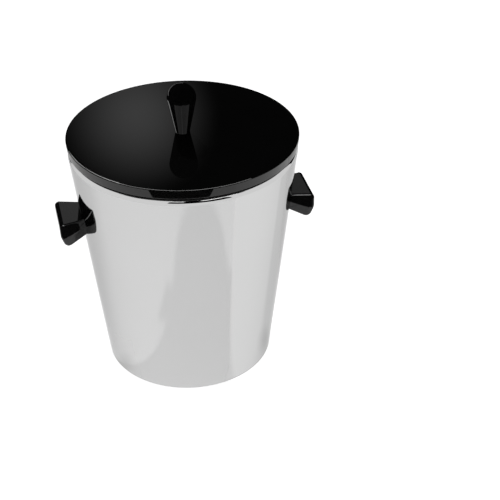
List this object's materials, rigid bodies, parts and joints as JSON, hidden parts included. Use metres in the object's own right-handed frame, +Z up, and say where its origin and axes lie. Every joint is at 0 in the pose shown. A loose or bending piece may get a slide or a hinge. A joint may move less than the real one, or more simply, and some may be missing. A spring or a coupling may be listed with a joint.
{
  "type": "ice bucket",
  "caption": "Insulated ice bucket: tapered polished steel shell, plastic liner and rim, black wedge side grips, and a flat black lift-off lid with a tapered round-topped knob.",
  "frame": {"origin": "centre of the footprint, on the surface the bucket stands on", "axes": "+Z up along the bucket's axis, X through the two side grips, Y across them"},
  "size_m": [0.2082, 0.184, 0.2462],
  "materials": {
    "polished_steel": "mirror-polished stainless sheet",
    "plain_steel": "spun steel, dull",
    "zinc_steel": "bright zinc plate",
    "black_gloss": "piano-black moulding",
    "black_moulding": "glossy black moulding",
    "liner_plastic": "satin black food-grade moulding",
    "seal_rubber": "soft silicone",
    "foot_rubber": "matt non-slip rubber",
    "foam": "rigid closed-cell foam",
    "saddle_plastic": "plain moulding",
    "brass": "turned, knurled insert"
  },
  "bodies": {
    "bucket": {"outer_shell": "polished_steel", "base_disc": "plain_steel", "foot_ring": "foot_rubber", "inner_liner": "liner_plastic", "rim_ring": "black_moulding", "rim_gasket": "seal_rubber", "insulation_sleeve": "foam", "insulation_disc": "foam", "base_screw": "zinc_steel", "base_washer": "zinc_steel", "grip_left": "black_moulding", "grip_right": "black_moulding", "grip_inserts_left": "brass", "grip_inserts_right": "brass", "grip_screws_left": "zinc_steel", "grip_screws_right": "zinc_steel", "grip_washers_left": "zinc_steel", "grip_washers_right": "zinc_steel", "grip_saddle_left": "saddle_plastic", "grip_saddle_right": "saddle_plastic"},
    "lid": {"lid_cover": "black_gloss", "lid_pan": "liner_plastic", "lid_insulation": "foam", "lid_seal": "seal_rubber", "knob": "black_gloss", "knob_insert": "brass", "knob_screw": "zinc_steel", "knob_washer": "zinc_steel"}
  },
  "joints": [
    {"name": "lid_lift", "type": "slide", "parent": "bucket", "child": "lid", "axis": [0, 0, 1], "range_m": [0, 0.12]}
  ]
}
